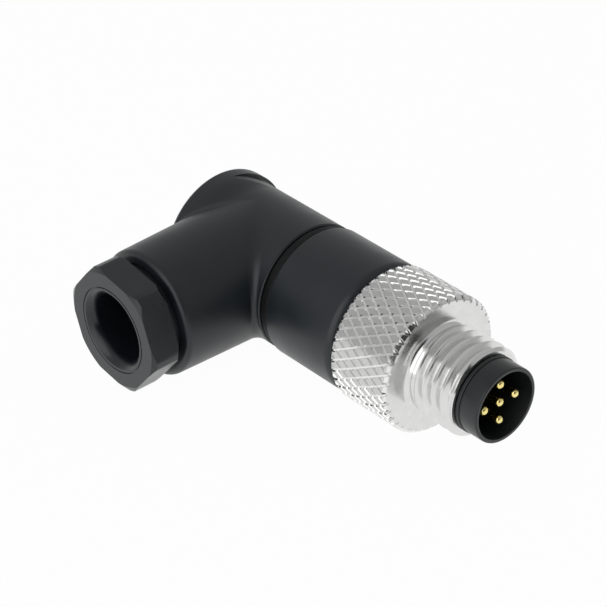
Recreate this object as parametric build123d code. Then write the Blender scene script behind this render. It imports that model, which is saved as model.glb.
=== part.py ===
from build123d import *
import math
import os

# Angled M8 plug with a knurled coupling ring
# Millimetres. +X is the mating axis, the cable enters from -Y, +Z is up.
# The origin lies on the mating axis, where the first full turn of the mating thread begins.

# Mating thread and the coupling ring
THREAD_D = 8.0
THREAD_LENGTH = 4.1
THREAD_PITCH = 1.0
THREAD_DEPTH = 0.5
THREAD_CREST = 0.12
THREAD_FLANK_ANGLE = math.radians(30)
THREAD_SPARE_TURN = 0.45
THREAD_CHAMFER = 0.3
THREAD_RUNOUT = 0.3
THREAD_SEAM_TURN = 190
RELIEF_LENGTH = 0.98
RELIEF_DEPTH = 0.35
RING_FILLET = 0.5
RING_D = 12.06
RING_LENGTH = 6.52
RING_WEB = 3.2
KNURL_TEETH = 40
KNURL_DEPTH = 0.2
KNURL_ROW = 0.815

# Front sleeve
SLEEVE_WALL = 0.76
SLEEVE_LENGTH = 7.88
SLEEVE_FRONT_ROUND = 0.8
NOSE_D = 9.2
NOSE_LENGTH = 3.0
SNAP_RING_SETBACK = 1.4
SNAP_RING_WIDTH = 0.5
SNAP_RING_BITE = 0.35
SNAP_RING_HEIGHT = 0.75
SNAP_RING_SPLIT = 1.6

# Elbow housing
HOUSING_D = 11.46
HOUSING_WALL = 1.1
SHOULDER_LENGTH = 2.5
SHOULDER_RELIEF = 0.77
SHOULDER_RELIEF_STEP = 0.11
BRANCH_TO_SEAM = 0.55
SEAM_WIDTH = 0.95
SEAM_DEPTH = 0.08
SPIGOT_SHOULDER = 0.72
SPIGOT_LENGTH = 5.4
SPIGOT_WALL = 1.26
SPIGOT_STEP = 1.5
SEAL_SEAT_DEPTH = 0.3

# Branch of the elbow that takes the cable
BRANCH_OVERSIZE = 0.02
BRANCH_TAPER = 0.19
BRANCH_TAPER_START = 5.0
BRANCH_REACH = 6.87
BRANCH_END_ROUND = 0.5
GLAND_THREAD_D = 9.0
SEAT_D = 7.6
SEAT_LENGTH = 3.0
THROAT_D = 5.4

# Rear cap
CAP_OVERHANG = 0.31
CAP_SETBACK = 0.25
CAP_THICKNESS = 1.4
CAP_ROUND = 0.45
CAP_BEVEL = 0.14
CAP_WALL = 1.1
CAP_PLUG_LENGTH = 1.5
CAP_SEAL_WIDTH = 0.6
CAP_SEAL_DEPTH = 0.4

# Contact carrier and what sits on it
SHELL_D = 6.56
SHELL_WALL = 0.33
SHELL_FLARE = 0.2
SHELL_FLARE_LENGTH = 1.6
SHELL_ROUND = 0.12
RIM_TO_THREAD = 2.25
SOCKET_DEPTH = 5.0
NECK_WALL = 0.28
FLANGE_STEP = 0.51
FLANGE_LENGTH = 2.0
BOSS_GAP = 0.35
BOSS_LENGTH = 1.8
KEY_WIDTH = 0.6
KEY_HEIGHT = 0.4
KEY_SETBACK = 1.0
KEY_ANGLE = 135
FRONT_SEAL_WIDTH = 0.62
FRONT_SEAL_HEIGHT = 0.28
FRONT_SEAL_SEAT_DEPTH = 0.16
GASKET_THICKNESS = 0.5
RETAINER_THICKNESS = 0.95

# Contacts
PIN_D = 0.8
PIN_TIP_ROUND = 0.36
PIN_SETBACK = 0.43
PIN_CIRCLE_D = 3.4
PINS_AROUND = 4
PIN_COLLAR_D = 1.24
PIN_COLLAR_LENGTH = 1.3
CUP_D = 1.0
CUP_BORE_D = 0.68
CUP_LENGTH = 2.7
CUP_BORE_DEPTH = 1.8
CUP_OPEN_LENGTH = 1.25

# Cable gland, along the branch
NUT_ACROSS_FLATS = 9.92
NUT_ACROSS_CORNERS = 11.1
NUT_HEX_LENGTH = 2.65
NUT_GAP = 0.8
NUT_FACE_D = 10.2
NUT_BEVEL_ANGLE = math.radians(30)
NUT_BACK_BEVEL = 0.25
NUT_TURN = -10
NUT_SHANK_LENGTH = 3.7
NUT_BORE_D = 5.9
NUT_LIP_D = 7.1
NUT_LIP_GROOVE = 0.1
NUT_FUNNEL_LENGTH = 1.05
NUT_CONE_D = 7.5
NUT_CONE_LENGTH = 1.8
NUT_CONE_SETBACK = 1.1
SEAL_BORE_D = 4.4
SEAL_GROOVE = 0.2
WASHER_THICKNESS = 0.5
WASHER_BORE_D = 5.2
CAGE_BASE_LENGTH = 0.85
CAGE_TO_NUT = 0.2
CAGE_D = 6.7
CAGE_BORE_D = 5.5
CAGE_FINGER_LENGTH = 2.7
CAGE_TIP_D = 5.9
CAGE_TAPER_LENGTH = 1.0
CAGE_SLOTS = 8
CAGE_SLOT_WIDTH = 0.5

# Clearances
TURNING = 0.07
FIXED = 0.02
FACE_GAP = 0.05

# Radii shared by pieces that fit each other
housing_r = HOUSING_D / 2
branch_r = housing_r + BRANCH_OVERSIZE
branch_end_r = branch_r - BRANCH_TAPER
spigot_r = housing_r - SPIGOT_SHOULDER
spigot_bore_r = spigot_r - SPIGOT_WALL
seal_seat_r = spigot_r - SEAL_SEAT_DEPTH
sleeve_r = spigot_r + TURNING + SLEEVE_WALL
chamber_r = housing_r - HOUSING_WALL
cap_r = housing_r + CAP_OVERHANG
flange_r = spigot_r - FLANGE_STEP
boss_r = spigot_bore_r - BOSS_GAP
nose_r = NOSE_D / 2
snap_inner_r = nose_r - SNAP_RING_BITE
snap_outer_r = snap_inner_r + SNAP_RING_HEIGHT
shell_r = SHELL_D / 2
mouth_r = shell_r - SHELL_WALL
socket_r = mouth_r - SHELL_FLARE
neck_r = socket_r + NECK_WALL
front_seal_seat_r = shell_r - FRONT_SEAL_SEAT_DEPTH
front_seal_r = front_seal_seat_r + FRONT_SEAL_HEIGHT

# Places along X, worked out from the front to the back
ring_front = -RELIEF_LENGTH
ring_back = ring_front - RING_LENGTH
sleeve_front = ring_back - TURNING
sleeve_back = sleeve_front - SLEEVE_LENGTH
nose_end = sleeve_front + NOSE_LENGTH
housing_front = sleeve_back - SEAM_WIDTH
elbow_x = housing_front - BRANCH_TO_SEAM - branch_r
spigot_end = housing_front + SPIGOT_LENGTH
rim_x = THREAD_LENGTH + RIM_TO_THREAD
socket_floor = rim_x - SOCKET_DEPTH
gasket_front = spigot_end + GASKET_THICKNESS
flange_front = gasket_front + FLANGE_LENGTH
boss_back = gasket_front - BOSS_LENGTH
retainer_back = boss_back - RETAINER_THICKNESS
snap_back = sleeve_front + SNAP_RING_SETBACK
ring_web_back = ring_front - RING_WEB
chamber_front = housing_front - SPIGOT_STEP
cap_back = elbow_x - branch_r + CAP_SETBACK
cap_front = cap_back + CAP_THICKNESS
pin_tip = rim_x - PIN_SETBACK

# Places along the branch, measured from the elbow's centre towards the cable
branch_end = housing_r + BRANCH_REACH
nut_back = branch_end + NUT_GAP
nut_face = nut_back + NUT_HEX_LENGTH
shank_end = nut_back - NUT_SHANK_LENGTH
cage_back = shank_end - CAGE_TO_NUT - CAGE_BASE_LENGTH
washer_back = cage_back - FACE_GAP - WASHER_THICKNESS
seal_front = washer_back - FACE_GAP
seat_floor = seal_front - SEAT_LENGTH


def turned(*points):
    """Solid turned about X from the (x, radius) corners of its outline"""
    return revolve(make_face(Polyline(*points, close=True)), Axis.X)


def tube(x_start, x_end, outer_r, inner_r):
    """Plain ring about X"""
    return turned((x_start, inner_r), (x_end, inner_r), (x_end, outer_r), (x_start, outer_r))


def rod(x_start, x_end, radius):
    """Plain cylinder about X"""
    return turned((x_start, 0), (x_end, 0), (x_end, radius), (x_start, radius))


def circles(part, x, radius):
    """Circular edges of a turned part at one place along X"""
    found = part.edges().filter_by(GeomType.CIRCLE)
    return [e for e in found if abs(e.arc_center.X - x) < 1e-3 and abs(e.radius - radius) < 1e-3]


def rounded_ring(x_start, x_end, outer_r, inner_r, share=0.3):
    """Sealing ring with rounded outer corners"""
    ring = tube(x_start, x_end, outer_r, inner_r)
    radius = share * min(x_end - x_start, outer_r - inner_r)
    return fillet(circles(ring, x_start, outer_r) + circles(ring, x_end, outer_r), radius)


def to_branch(part):
    """Turns a part built along +X so that it points along the cable branch"""
    return Pos(elbow_x, 0, 0) * Rot(0, 0, -90) * part


def knurl_corner(row, column, rows, row_step):
    """Corner of the knurl: grooves cross where row + column is even, peaks stand between"""
    peak = (row + column) % 2 == 1 and 0 < row < rows
    radius = RING_D / 2 if peak else RING_D / 2 - KNURL_DEPTH
    angle = math.pi * column / KNURL_TEETH
    x = ring_back + row * row_step
    return (x, radius * math.cos(angle), radius * math.sin(angle))


def knurl_triangles():
    """Triangles of the diamond knurl and of its two flat ends"""
    rows = 2 * round(RING_LENGTH / (2 * KNURL_ROW))
    row_step = RING_LENGTH / rows
    columns = 2 * KNURL_TEETH
    corner = [[knurl_corner(r, c, rows, row_step) for c in range(columns)] for r in range(rows + 1)]
    triangles = []
    for r in range(rows):
        for c in range(columns):
            here, right = corner[r][c], corner[r][(c + 1) % columns]
            above, across = corner[r + 1][c], corner[r + 1][(c + 1) % columns]
            if (r + c) % 2 == 0:
                triangles += [(here, right, above), (right, across, above)]
            else:
                triangles += [(here, right, across), (here, across, above)]
    return triangles, corner[0], corner[rows]


def knurled_rod():
    """Solid rod with the diamond knurl all over its side"""
    triangles, back_rim, front_rim = knurl_triangles()
    faces = [Face(Wire.make_polygon(t, close=True)) for t in triangles]
    faces += [Face(Wire.make_polygon(rim, close=True)) for rim in (back_rim, front_rim)]
    return Solid(Shell(faces))


def thread_groove():
    """Groove between the turns of the mating thread, longer than the thread at both ends"""
    slope = math.tan(THREAD_FLANK_ANGLE)
    mouth = (THREAD_PITCH - THREAD_CREST) / 2
    spare = THREAD_CREST / 4
    start = -THREAD_PITCH * (math.ceil(THREAD_RUNOUT / THREAD_PITCH) + 0.5)
    length = THREAD_LENGTH + THREAD_SPARE_TURN * THREAD_PITCH - start
    path = Helix(THREAD_PITCH, length, THREAD_D / 2, center=(start, 0, 0), direction=(1, 0, 0))
    outline = Polyline(
        (THREAD_DEPTH * slope - mouth, -THREAD_DEPTH),
        (mouth - THREAD_DEPTH * slope, -THREAD_DEPTH),
        (mouth + spare, spare / slope),
        (-mouth - spare, spare / slope),
        close=True,
    )
    across = Plane(path @ 0, x_dir=(1, 0, 0), z_dir=(0, -1, 0))
    return sweep(across * make_face(outline), path=path, is_frenet=True)


def mating_thread():
    """Threaded end of the coupling ring, its seam turned to where the groove cuts cleanly"""
    thread_r = THREAD_D / 2
    relief_r = thread_r - RELIEF_DEPTH
    blank = turned(
        (-THREAD_RUNOUT - RELIEF_DEPTH / 2, 0),
        (-THREAD_RUNOUT - RELIEF_DEPTH / 2, relief_r),
        (-THREAD_RUNOUT, thread_r),
        (THREAD_LENGTH - THREAD_CHAMFER, thread_r),
        (THREAD_LENGTH, thread_r - THREAD_CHAMFER),
        (THREAD_LENGTH, 0),
    )
    return Rot(THREAD_SEAM_TURN, 0, 0) * blank - thread_groove()


def thread_root():
    """Front of the coupling ring with its concave fillet and the relief behind the thread"""
    relief_r = THREAD_D / 2 - RELIEF_DEPTH
    diagonal = RING_FILLET * (1 - math.sqrt(0.5))
    side = Polyline(
        (ring_front + RING_FILLET, relief_r),
        (-THREAD_RUNOUT, relief_r),
        (-THREAD_RUNOUT, 0),
        (ring_web_back, 0),
        (ring_web_back, relief_r + RING_FILLET),
        (ring_front, relief_r + RING_FILLET),
    )
    fillet_arc = ThreePointArc(
        (ring_front, relief_r + RING_FILLET),
        (ring_front + diagonal, relief_r + diagonal),
        (ring_front + RING_FILLET, relief_r),
    )
    return revolve(make_face(side + fillet_arc), Axis.X)


def ring_hollow():
    """Space inside the coupling ring: bore, socket for the sleeve's nose and snap ring groove"""
    bore_r = neck_r + TURNING
    socket_r = nose_r + TURNING
    groove_r = snap_outer_r + TURNING
    groove_front = snap_back + SNAP_RING_WIDTH + FACE_GAP
    return turned(
        (ring_back, 0),
        (THREAD_LENGTH, 0),
        (THREAD_LENGTH, bore_r),
        (ring_web_back, bore_r),
        (ring_web_back, socket_r),
        (groove_front, socket_r),
        (groove_front, groove_r),
        (snap_back - FACE_GAP, groove_r),
        (snap_back - FACE_GAP, socket_r),
        (ring_back, socket_r),
    )


def coupling_ring():
    spindle = thread_root() + mating_thread() - ring_hollow()
    return knurled_rod() + spindle - ring_hollow()


def snap_ring():
    ring = tube(snap_back, snap_back + SNAP_RING_WIDTH, snap_outer_r, snap_inner_r + FIXED)
    split = Pos(snap_back, 0, -snap_outer_r) * Box(4 * SNAP_RING_WIDTH, SNAP_RING_SPLIT, snap_outer_r)
    return ring - split


def front_sleeve():
    shoulder = flange_front + FACE_GAP
    body = rod(sleeve_back, sleeve_front, sleeve_r)
    body = fillet(circles(body, sleeve_front, sleeve_r), SLEEVE_FRONT_ROUND)
    body = chamfer(circles(body, sleeve_back, sleeve_r), CAP_BEVEL)
    body += rod(sleeve_front - FACE_GAP, nose_end, nose_r)
    body -= rod(sleeve_back, shoulder, spigot_r + TURNING)
    body -= rod(shoulder, nose_end, neck_r + TURNING)
    return body - tube(snap_back - FIXED, snap_back + SNAP_RING_WIDTH + FIXED, nose_r + 1, snap_inner_r)


def branch_outside():
    """Outside of the cable branch, along +X: straight at its root, then drawn in to its end"""
    return turned(
        (0, 0),
        (branch_end, 0),
        (branch_end, branch_end_r),
        (BRANCH_TAPER_START, branch_r),
        (0, branch_r),
    )


def branch_inside():
    """Bores of the cable branch, along +X"""
    thread_r = GLAND_THREAD_D / 2 + TURNING
    return turned(
        (0, 0),
        (branch_end, 0),
        (branch_end, thread_r),
        (seal_front, thread_r),
        (seal_front, SEAT_D / 2),
        (seat_floor, SEAT_D / 2),
        (seat_floor, THROAT_D / 2),
        (0, THROAT_D / 2),
    )


def shoulder():
    """Flare that meets the cap's rim, relieved on the side away from the branch"""
    back = cap_front + FIXED
    front = back + SHOULDER_LENGTH
    flare = turned((back, 0), (front, 0), (front, housing_r), (back, cap_r))
    relieved_r = cap_r + SHOULDER_RELIEF_STEP
    return flare & (Pos(0, -SHOULDER_RELIEF, 0) * rod(back, front, relieved_r))


def elbow_housing():
    body = rod(cap_front + FIXED, housing_front, housing_r)
    body = chamfer(circles(body, housing_front, housing_r), CAP_BEVEL)
    branch = branch_outside()
    branch = fillet(circles(branch, branch_end, branch_end_r), BRANCH_END_ROUND)
    body += shoulder()
    body += to_branch(branch) - rod(cap_back - CAP_SETBACK, cap_front + FIXED, cap_r + FIXED)
    body += rod(housing_front - FACE_GAP, sleeve_back, seal_seat_r)
    body += rod(sleeve_back, spigot_end, spigot_r)
    body -= rod(cap_front, chamber_front, chamber_r)
    body -= rod(chamber_front, spigot_end, spigot_bore_r)
    return body - to_branch(branch_inside())


def housing_seal():
    outer_r = housing_r - SEAM_DEPTH
    return rounded_ring(housing_front + FIXED, sleeve_back - FIXED, outer_r, seal_seat_r + FIXED)


def cap_plug_r():
    return chamber_r - FIXED


def rear_cap():
    plug_end = cap_front + CAP_PLUG_LENGTH
    hollow_r = cap_plug_r() - CAP_WALL
    body = rod(cap_back, cap_front, cap_r)
    body = fillet(circles(body, cap_back, cap_r), CAP_ROUND)
    body += rod(cap_front - FACE_GAP, plug_end, cap_plug_r())
    body -= rod(cap_back + CAP_WALL, plug_end, hollow_r)
    return body - cap_seal_space(CAP_SEAL_WIDTH + 2 * FIXED)


def cap_seal_middle():
    return cap_front + CAP_PLUG_LENGTH / 2


def cap_seal_space(width):
    """Ring-shaped space about the cap's plug"""
    middle = cap_seal_middle()
    return tube(middle - width / 2, middle + width / 2, chamber_r, cap_plug_r() - CAP_SEAL_DEPTH)


def rear_cap_seal():
    middle = cap_seal_middle()
    inner_r = cap_plug_r() - CAP_SEAL_DEPTH + FIXED
    return rounded_ring(
        middle - CAP_SEAL_WIDTH / 2, middle + CAP_SEAL_WIDTH / 2, chamber_r - FIXED / 2, inner_r
    )


def pin_places():
    """Centres of the contacts across the mating axis, around it and then on it"""
    turns = [2 * math.pi * i / PINS_AROUND for i in range(PINS_AROUND)]
    r = PIN_CIRCLE_D / 2
    return [(r * math.cos(turn), r * math.sin(turn)) for turn in turns] + [(0, 0)]


def at_each_pin(part):
    """Copies of a part on every contact's centre line"""
    return [Pos(0, y, z) * part for y, z in pin_places()]


def contact_carrier():
    cone_end = rim_x - SHELL_FLARE_LENGTH
    seal_front_x = THREAD_LENGTH + FACE_GAP + FRONT_SEAL_WIDTH + FIXED
    body = turned(
        (boss_back, 0),
        (rim_x, 0),
        (rim_x, shell_r),
        (seal_front_x, shell_r),
        (seal_front_x, front_seal_seat_r),
        (THREAD_LENGTH + FACE_GAP, front_seal_seat_r),
        (THREAD_LENGTH + FACE_GAP, neck_r),
        (flange_front, neck_r),
        (flange_front, flange_r),
        (gasket_front, flange_r),
        (gasket_front, boss_r),
        (boss_back, boss_r),
    )
    body = fillet(circles(body, rim_x, shell_r), SHELL_ROUND)
    body -= turned(
        (socket_floor, 0),
        (rim_x, 0),
        (rim_x, mouth_r),
        (cone_end, socket_r),
        (socket_floor, socket_r),
    )
    body += coding_key()
    for hole in at_each_pin(rod(boss_back, socket_floor, PIN_D / 2 + FIXED)):
        body -= hole
    for recess in at_each_pin(rod(boss_back, collar_front() + FIXED, PIN_COLLAR_D / 2 + FIXED)):
        body -= recess
    return body


def coding_key():
    """Rib on the wall of the socket that fits the mating part one way only"""
    length = rim_x - KEY_SETBACK - socket_floor
    box = Pos(socket_floor + length / 2, socket_r - KEY_HEIGHT / 2, 0) * Box(length, KEY_HEIGHT, KEY_WIDTH)
    outside = rod(socket_floor, rim_x, (socket_r + neck_r) / 2)
    root = Pos(socket_floor + length / 2, socket_r, 0) * Box(length, 2 * SHELL_FLARE, KEY_WIDTH)
    return Rot(KEY_ANGLE, 0, 0) * ((box + root) & outside)


def collar_front():
    return boss_back + FACE_GAP + PIN_COLLAR_LENGTH


def contact_pin():
    """One contact on the mating axis, with its rounded tip, collar and solder cup"""
    r = PIN_D / 2
    collar_back = boss_back + FACE_GAP
    cup_back = collar_back - CUP_LENGTH
    body = rod(cup_back, collar_back, CUP_D / 2)
    body += rod(collar_back, collar_front(), PIN_COLLAR_D / 2)
    body += rod(collar_front(), pin_tip, r)
    body = fillet(circles(body, pin_tip, r), PIN_TIP_ROUND)
    body -= rod(cup_back, cup_back + CUP_BORE_DEPTH, CUP_BORE_D / 2)
    opened = Pos(cup_back, 0, CUP_D / 2) * Box(2 * CUP_OPEN_LENGTH, CUP_D, CUP_D)
    return body - opened


def pin_retainer():
    disc = rod(retainer_back, boss_back - FIXED, boss_r)
    for hole in at_each_pin(rod(retainer_back, boss_back, CUP_D / 2 + FIXED)):
        disc -= hole
    return disc


def carrier_seal():
    return tube(spigot_end + FIXED, gasket_front - FIXED, spigot_r - TURNING, boss_r + FIXED)


def front_seal():
    start = THREAD_LENGTH + FACE_GAP
    inner_r = front_seal_seat_r + FIXED
    return rounded_ring(start, start + FRONT_SEAL_WIDTH, front_seal_r, inner_r, 0.4)


def cable_seal():
    """Rubber bush that grips the cable, with three grooves inside its bore"""
    length = seal_front - seat_floor - 2 * FIXED
    start = seat_floor + FIXED
    bore_r = SEAL_BORE_D / 2
    body = tube(start, start + length, SEAT_D / 2 - FIXED, bore_r)
    for share in (0.25, 0.5, 0.75):
        middle = start + share * length
        body -= tube(middle - SEAL_GROOVE, middle + SEAL_GROOVE, bore_r + SEAL_GROOVE, bore_r - SEAL_GROOVE)
    return to_branch(body)


def thrust_washer():
    outer_r = GLAND_THREAD_D / 2 - 2 * TURNING
    return to_branch(tube(washer_back, washer_back + WASHER_THICKNESS, outer_r, WASHER_BORE_D / 2))


def clamp_cage():
    """Slotted ring with fingers that point at the nut's cone"""
    base_front = cage_back + CAGE_BASE_LENGTH
    tip = base_front + CAGE_FINGER_LENGTH
    body = turned(
        (cage_back, CAGE_BORE_D / 2),
        (tip, CAGE_BORE_D / 2),
        (tip, CAGE_TIP_D / 2),
        (tip - CAGE_TAPER_LENGTH, CAGE_D / 2),
        (base_front, CAGE_D / 2),
        (base_front, GLAND_THREAD_D / 2 - 2 * TURNING),
        (cage_back, GLAND_THREAD_D / 2 - 2 * TURNING),
    )
    slot = Pos((base_front + tip) / 2 + FACE_GAP, CAGE_D / 2, 0) * Box(
        CAGE_FINGER_LENGTH, CAGE_D, CAGE_SLOT_WIDTH
    )
    for i in range(CAGE_SLOTS):
        body -= Rot(360 * i / CAGE_SLOTS, 0, 0) * slot
    return to_branch(body)


def nut_hexagon():
    """Hexagon of the gland nut along +X, with turned corners and bevelled ends"""
    corner_r = NUT_ACROSS_FLATS / 2 / math.cos(math.pi / 6)
    sketch = Plane.YZ * RegularPolygon(corner_r, 6, major_radius=True)
    prism = Pos(nut_back, 0, 0) * Rot(NUT_TURN, 0, 0) * extrude(sketch, NUT_HEX_LENGTH)
    outer_r = NUT_ACROSS_CORNERS / 2
    face_r = NUT_FACE_D / 2
    envelope = turned(
        (nut_back, 0),
        (nut_face, 0),
        (nut_face, face_r),
        (nut_face - (outer_r - face_r) * math.tan(NUT_BEVEL_ANGLE), outer_r),
        (nut_back + NUT_BACK_BEVEL, outer_r),
        (nut_back, outer_r - NUT_BACK_BEVEL),
    )
    return prism & envelope


def nut_bore():
    """Bore of the gland nut: inner cone, straight bore and the funnel at the mouth"""
    bore_r = NUT_BORE_D / 2
    lip_r = NUT_LIP_D / 2
    cone_start = shank_end + NUT_CONE_SETBACK
    cone_end = cone_start + NUT_CONE_LENGTH
    funnel = nut_face - NUT_FUNNEL_LENGTH
    outline = Polyline(
        (nut_face, lip_r),
        (nut_face, 0),
        (shank_end, 0),
        (shank_end, NUT_CONE_D / 2),
        (cone_start, NUT_CONE_D / 2),
        (cone_end, bore_r),
        (funnel, bore_r),
    )
    curve = TangentArc((funnel, bore_r), (nut_face, lip_r), tangent=(1, 0))
    return revolve(make_face(outline + curve), Axis.X)


def gland_nut():
    collar_r = GLAND_THREAD_D / 2
    groove_r = NUT_LIP_D / 2 + 2 * NUT_LIP_GROOVE
    body = nut_hexagon() + rod(shank_end, nut_back + FACE_GAP, collar_r)
    body -= nut_bore()
    body -= tube(nut_face - NUT_LIP_GROOVE, nut_face, groove_r + NUT_LIP_GROOVE, groove_r)
    return to_branch(body)


def all_parts():
    parts = {
        "elbow_housing": elbow_housing(),
        "rear_cap": rear_cap(),
        "rear_cap_seal": rear_cap_seal(),
        "housing_seal": housing_seal(),
        "front_sleeve": front_sleeve(),
        "snap_ring": snap_ring(),
        "coupling_ring": coupling_ring(),
        "contact_carrier": contact_carrier(),
        "pin_retainer": pin_retainer(),
        "carrier_seal": carrier_seal(),
        "front_seal": front_seal(),
        "cable_seal": cable_seal(),
        "thrust_washer": thrust_washer(),
        "clamp_cage": clamp_cage(),
        "gland_nut": gland_nut(),
    }
    for number, pin in enumerate(at_each_pin(contact_pin()), start=1):
        parts[f"contact_pin_{number}"] = pin
    return parts


os.makedirs("parts", exist_ok=True)
for node, part in all_parts().items():
    export_step(part, f"parts/{node}.step")
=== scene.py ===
import math

import bmesh
import bpy
from mathutils import Matrix, Vector

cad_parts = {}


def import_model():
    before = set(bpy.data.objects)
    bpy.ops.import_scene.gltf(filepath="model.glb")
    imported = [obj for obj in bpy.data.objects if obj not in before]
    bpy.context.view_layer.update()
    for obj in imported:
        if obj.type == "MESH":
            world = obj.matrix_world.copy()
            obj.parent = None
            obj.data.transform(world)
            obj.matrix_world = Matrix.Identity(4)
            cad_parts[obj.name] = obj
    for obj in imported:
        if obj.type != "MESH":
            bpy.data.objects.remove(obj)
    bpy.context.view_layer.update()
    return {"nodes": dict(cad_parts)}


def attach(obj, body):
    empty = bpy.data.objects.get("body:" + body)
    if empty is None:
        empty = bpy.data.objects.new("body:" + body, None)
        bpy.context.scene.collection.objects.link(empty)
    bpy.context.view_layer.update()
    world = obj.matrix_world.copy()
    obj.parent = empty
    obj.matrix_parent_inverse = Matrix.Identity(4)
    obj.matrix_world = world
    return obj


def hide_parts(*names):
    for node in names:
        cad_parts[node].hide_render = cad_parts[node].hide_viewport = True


# Angled M8 plug with a knurled coupling ring
# Lengths are in millimetres until a finished mesh is scaled to metres.
# +X is the mating axis, the cable branch points to -Y, +Z is up.

MM = 0.001
TURN_STEPS = 192
PIN_STEPS = 48
STATION_STEPS = 24
SHARP_ANGLE = math.radians(28)
SMALL = 1e-6
FLAT_TOLERANCE = 1e-4
MERGE_DISTANCE = 0.0005
FIT_GAP = 0.02
THREAD_GAP = 0.07

# Places along the mating axis
CAP_BACK = -28.2
CAP_FRONT = -26.8
ELBOW_X = -22.7
CHAMBER_FRONT = -17.9
HOUSING_FRONT = -16.4
SLEEVE_BACK = -15.45
SPIGOT_END = -11.0
SLEEVE_SHOULDER = -8.45
SLEEVE_FRONT = -7.57
RING_BACK = -7.5
NOSE_END = -4.57
RING_WEB_BACK = -4.18
RING_FRONT = -0.98
THREAD_END = 4.1
RIM_X = 6.35

# Radii about the mating axis
HOUSING_R = 5.73
CHAMBER_R = 4.63
SPIGOT_R = 5.01
SPIGOT_BORE_R = 3.75
SEAL_SEAT_R = 4.71
SLEEVE_R = 5.84
SLEEVE_ROUND = 0.8
NOSE_R = 4.6
NOSE_ROUND = 0.1
NECK_R = 3.03
SHELL_R = 3.28
SMALL_BEVEL = 0.14
BEVEL_STOPS = (0.02, 0.055, 0.09)
SHOULDER_LENGTH = 2.5
SHOULDER_RELIEF = 0.77
SHOULDER_RELIEF_R = 6.15

# Seat of the snap ring on the sleeve's nose
SNAP_SEAT_BACK = -6.19
SNAP_SEAT_FRONT = -5.65
SNAP_SEAT_R = 4.25

# Rear cap, with its plug and the groove for its seal measured from CAP_FRONT
CAP_R = 6.04
CAP_ROUND = 0.45
CAP_GAP = 0.015
CAP_WALL = 1.1
CAP_PLUG_LENGTH = 1.5
CAP_GROOVE_BACK = 0.43
CAP_GROOVE_FRONT = 1.07
CAP_GROOVE_DEPTH = 0.4

# Coupling ring
RING_R = 6.03
RING_BEVEL = 0.3
RING_BORE_R = 3.1
RING_SOCKET_R = 4.67
RING_GROOVE_R = 5.07
RING_GROOVE_BACK = -6.22
RING_GROOVE_FRONT = -5.62
RING_FILLET = 0.5
FILLET_STEPS = 10
RELIEF_R = 3.65
KNURL_TEETH = 40
KNURL_DEPTH = 0.16
KNURL_ROW = 1.63
KNURL_GROOVE = 0.17
KNURL_FLOOR = 0.07

# Mating thread
THREAD_R = 4.0
THREAD_PITCH = 1.0
THREAD_DEPTH = 0.5
THREAD_CREST = 0.1
THREAD_FLANK_ANGLE = math.radians(30)
THREAD_START = -0.475
THREAD_FULL = -0.3
THREAD_RUN_IN = 0.6
THREAD_BEVEL = 0.36
BEVEL_STEPS = 4
THREAD_STEPS = 128

# Cable branch, measured from the elbow's centre
BRANCH_R = 5.75
BRANCH_END_R = 5.56
BRANCH_TAPER_START = 5.0
BRANCH_END = 12.6
BRANCH_END_ROUND = 0.5
CREASE_R = 0.4
BACK_CREASE_R = 0.08
CREASE_GROWTH = 2.9
CREASE_ROUNDS = 12
CREASE_STEPS = 16
CREASE_COLUMNS = 192
BODY_BACK = -29.0
BODY_END = -28.42
GLAND_THREAD_R = 4.57
SEAL_FRONT = 8.05
SEAT_FLOOR = 5.05
SEAT_R = 3.8
THROAT_R = 2.7

# Gland nut, along the branch
NUT_BACK = 13.4
NUT_FACE = 16.05
NUT_FLAT = 4.96
NUT_CORNER_R = 5.55
NUT_FACE_R = 5.1
NUT_TURN = math.radians(-10)
NUT_BACK_BEVEL = 0.25
NUT_BEVEL_ANGLE = math.radians(30)
NUT_SHANK_END = 9.7
NUT_SHANK_R = 4.5
NUT_BORE_R = 2.95
NUT_LIP_R = 3.55
LIP_GROOVE_DEPTH = 0.1
LIP_GROOVE_START = 0.2
LIP_GROOVE_END = 0.3
NUT_FUNNEL = 1.05
FUNNEL_STEPS = 16
MOUTH_SPREAD = 0.55
NUT_CONE_START = 10.8
NUT_CONE_END = 12.6
NUT_CONE_R = 3.75

# Insert and contacts
GASKET_FRONT = -10.5
FLANGE_FRONT = -8.5
FLANGE_R = 4.5
BOSS_BACK = -12.3
BOSS_R = 3.4
MOUTH_R = 2.95
SOCKET_R = 2.75
SOCKET_FLOOR = 1.35
FLARE_LENGTH = 1.6
RIM_ROUND = 0.12
RIM_EDGE_ROUND = 0.05
FRONT_SEAL_BACK = 4.15
FRONT_SEAL_FRONT = 4.5
FRONT_SEAL_R = 3.35
FRONT_SEAL_SEAT_R = 3.12
FRONT_SEAL_ROUND = 0.08
SEAM_SETBACK = 0.08
SEAM_ROUND = 0.25
PIN_R = 0.4
PIN_TIP = 5.92
PIN_TIP_ROUND = 0.34
PIN_CIRCLE_R = 1.7
PIN_COLLAR_R = 0.62
PIN_COLLAR_BACK = -12.25
PIN_COLLAR_FRONT = -10.95
CUP_BACK = -14.95
CUP_R = 0.5
CUP_BORE_R = 0.34
CUP_BORE_END = -13.15
KEY_WIDTH = 0.6
KEY_HEIGHT = 0.4
KEY_SINK = 0.1
KEY_END = 5.35
KEY_ANGLE = math.radians(135)

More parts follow.
